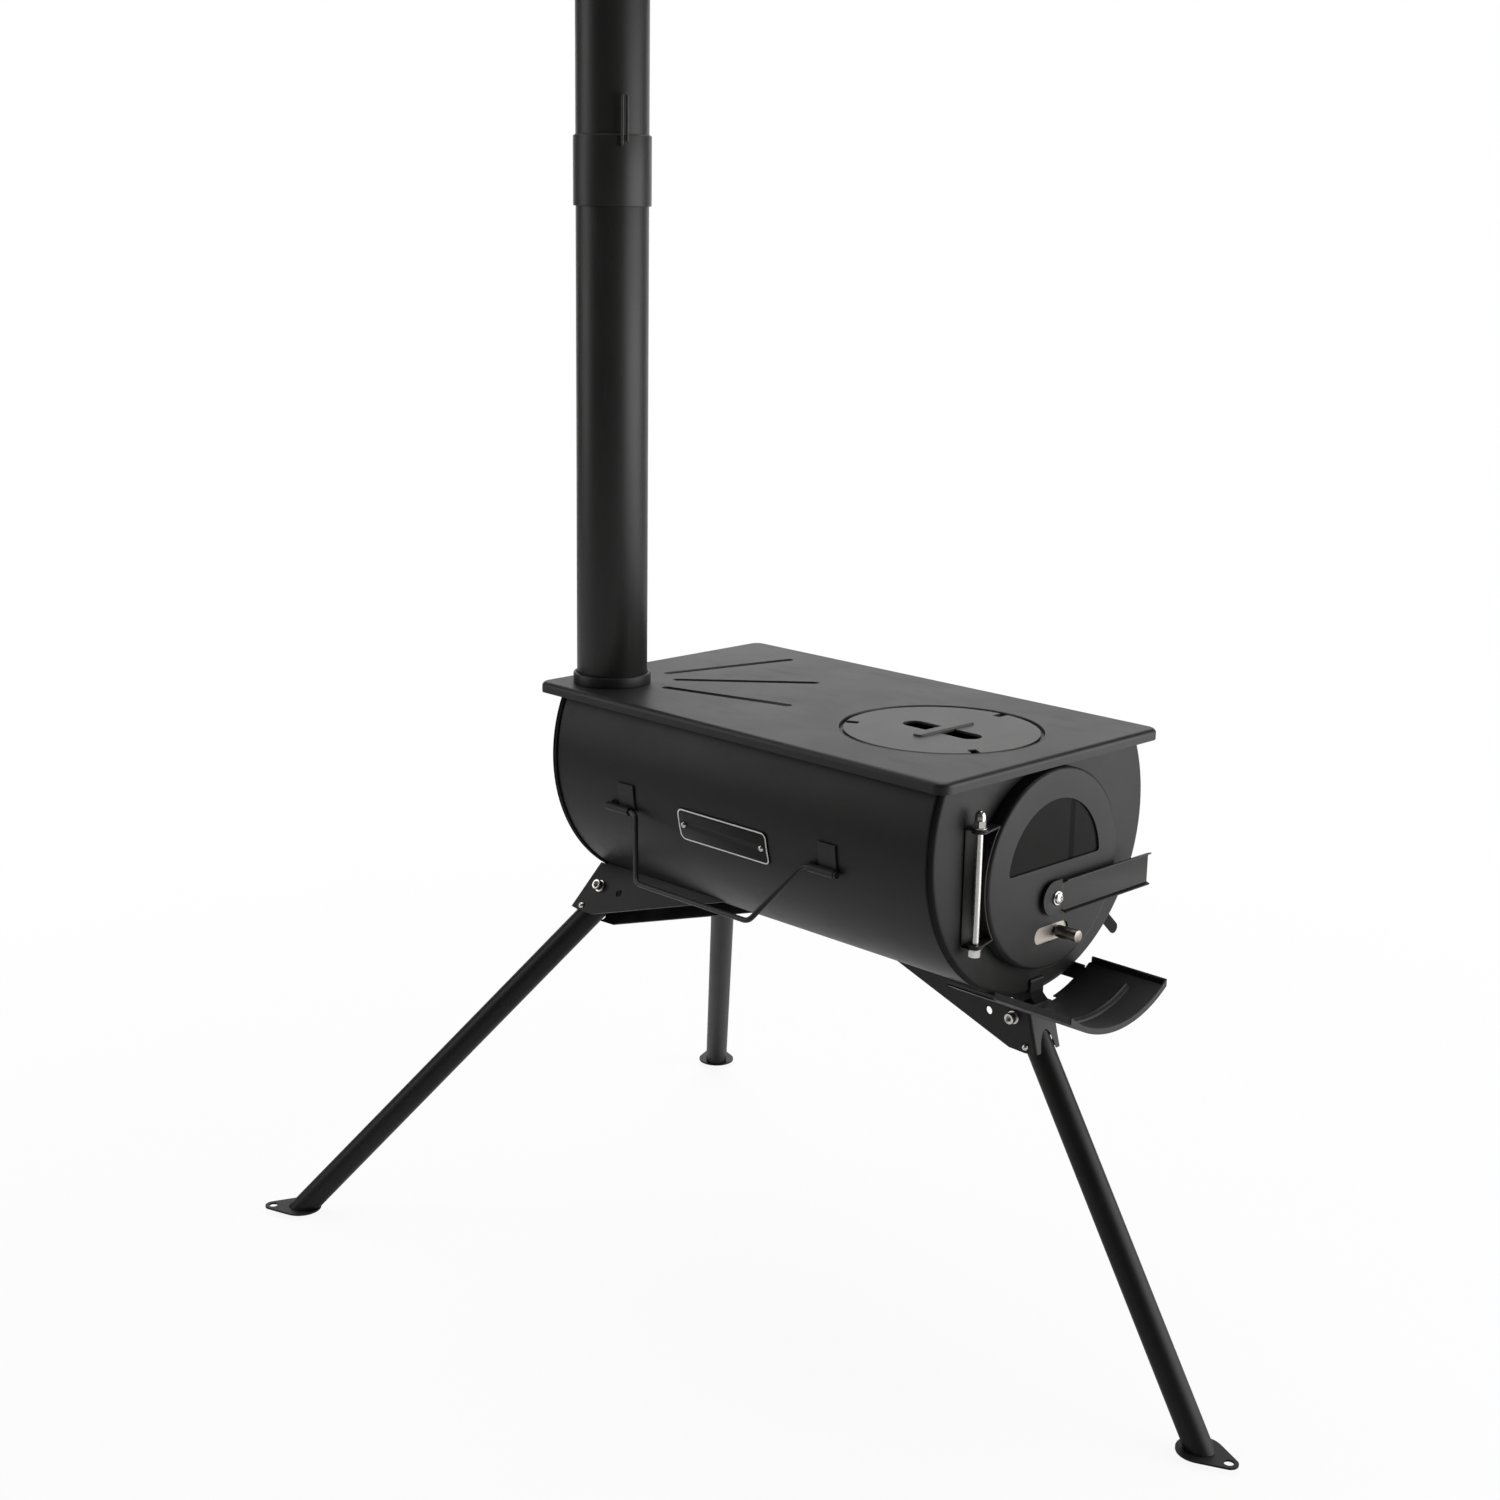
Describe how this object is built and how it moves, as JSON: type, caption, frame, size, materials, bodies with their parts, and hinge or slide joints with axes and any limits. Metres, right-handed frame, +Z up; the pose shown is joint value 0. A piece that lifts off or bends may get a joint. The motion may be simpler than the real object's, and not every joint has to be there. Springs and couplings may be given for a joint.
{
  "type": "tent wood stove",
  "caption": "Barrel wood stove with flat cooking top, lift-out lid, glazed round door, slide-out ash tray, corner flue with damper, folding legs and swinging carry wires.",
  "frame": {"origin": "middle of the footprint, on the ground", "axes": "+Z up; the barrel runs along Y and the door faces -Y; +X is the side that the latch lever points to, away from the hinge"},
  "size_m": [0.6642, 0.9876, 1.536],
  "materials": {
    "black_paint": "matt heat-resistant black paint",
    "stainless": "plain stainless steel",
    "bare_steel": "bare turned or rolled steel",
    "ceramic_glass": "smoked heat-proof glass",
    "nameplate_black": "black plate left without words"
  },
  "bodies": {
    "firebox": {"firebox_barrel": "black_paint", "flue_collar": "black_paint", "front_plate": "black_paint", "hinge_bracket": "black_paint", "hinge_cap_nut": "stainless", "hinge_lower_nut": "stainless", "hinge_rod": "stainless", "leg_bracket_front": "black_paint", "leg_bracket_rear_far": "black_paint", "leg_bracket_rear_near": "black_paint", "nameplate": "nameplate_black", "nameplate_screw_1": "stainless", "nameplate_screw_2": "stainless", "pivot_bolt_front": "stainless", "pivot_bolt_rear_far": "stainless", "pivot_bolt_rear_near": "stainless", "rear_plate": "black_paint", "side_tab": "black_paint", "snap_button_front": "stainless", "snap_button_rear_far": "stainless", "snap_button_rear_near": "stainless", "top_plate": "black_paint", "tray_hook": "black_paint", "wire_clip_far_front": "black_paint", "wire_clip_far_rear": "black_paint", "wire_clip_near_front": "black_paint", "wire_clip_near_rear": "black_paint"},
    "door": {"door_shell": "black_paint", "door_glass": "ceramic_glass", "glass_clamp": "black_paint", "hinge_strap": "black_paint"},
    "latch": {"latch_lever": "black_paint", "latch_bolt": "stainless", "latch_cam": "bare_steel"},
    "vent": {"vent_slider": "bare_steel", "vent_knob": "bare_steel"},
    "lid": {"cook_lid": "black_paint"},
    "tray": {"ash_tray": "black_paint"},
    "carry_near": {"carry_wire_near": "bare_steel"},
    "carry_far": {"carry_wire_far": "bare_steel"},
    "leg_front": {"leg_tube_front": "black_paint", "foot_plate_front": "black_paint"},
    "leg_rear_near": {"leg_tube_rear_near": "black_paint", "foot_plate_rear_near": "black_paint"},
    "leg_rear_far": {"leg_tube_rear_far": "black_paint", "foot_plate_rear_far": "black_paint"},
    "flue_low": {"lower_flue": "black_paint"},
    "flue_high": {"upper_flue": "black_paint"},
    "damper": {"damper_disc": "black_paint", "damper_wire": "stainless"}
  },
  "joints": [
    {"name": "door_hinge", "type": "hinge", "parent": "firebox", "child": "door", "pos_m": [-0.1, -0.26519, 0.485], "axis": [0, 0, -1], "range_deg": [0, 150]},
    {"name": "latch_turn", "type": "hinge", "parent": "door", "child": "latch", "pos_m": [0, -0.27219, 0.46], "axis": [0, -1, 0], "range_deg": [0, 90]},
    {"name": "vent_slide", "type": "slide", "parent": "door", "child": "vent", "axis": [-1, 0, 0], "range_m": [-0.009, 0.018]},
    {"name": "lid_lift", "type": "slide", "parent": "firebox", "child": "lid", "axis": [0, 0, 1], "range_m": [0, 0.08]},
    {"name": "tray_slide", "type": "slide", "parent": "firebox", "child": "tray", "axis": [0, -1, 0], "range_m": [0, 0.12]},
    {"name": "carry_near_swing", "type": "hinge", "parent": "firebox", "child": "carry_near", "pos_m": [-0.14616, 0.00281, 0.48136], "axis": [0, 1, 0], "range_deg": [-45, 75]},
    {"name": "carry_far_swing", "type": "hinge", "parent": "firebox", "child": "carry_far", "pos_m": [0.14616, 0.00281, 0.48136], "axis": [0, -1, 0], "range_deg": [-45, 75]},
    {"name": "leg_front_fold", "type": "hinge", "parent": "firebox", "child": "leg_front", "pos_m": [0, -0.24569, 0.3465], "axis": [1, 0, 0], "range_deg": [0, 118]},
    {"name": "leg_rear_near_fold", "type": "hinge", "parent": "firebox", "child": "leg_rear_near", "pos_m": [-0.0794, 0.22311, 0.3631], "axis": [-0.8499, 0, 0.527], "range_deg": [0, 118]},
    {"name": "leg_rear_far_fold", "type": "hinge", "parent": "firebox", "child": "leg_rear_far", "pos_m": [0.0794, 0.22311, 0.3631], "axis": [-0.8499, 0, -0.527], "range_deg": [0, 118]},
    {"name": "flue_low_lift", "type": "slide", "parent": "firebox", "child": "flue_low", "axis": [0, 0, 1], "range_m": [0, 0.06]},
    {"name": "flue_high_lift", "type": "slide", "parent": "flue_low", "child": "flue_high", "axis": [0, 0, 1], "range_m": [0, 0.06]},
    {"name": "damper_turn", "type": "hinge", "parent": "flue_high", "child": "damper", "pos_m": [-0.0965, 0.20281, 1.09], "axis": [-0.4695, -0.8829, 0], "range_deg": [0, 90]}
  ]
}
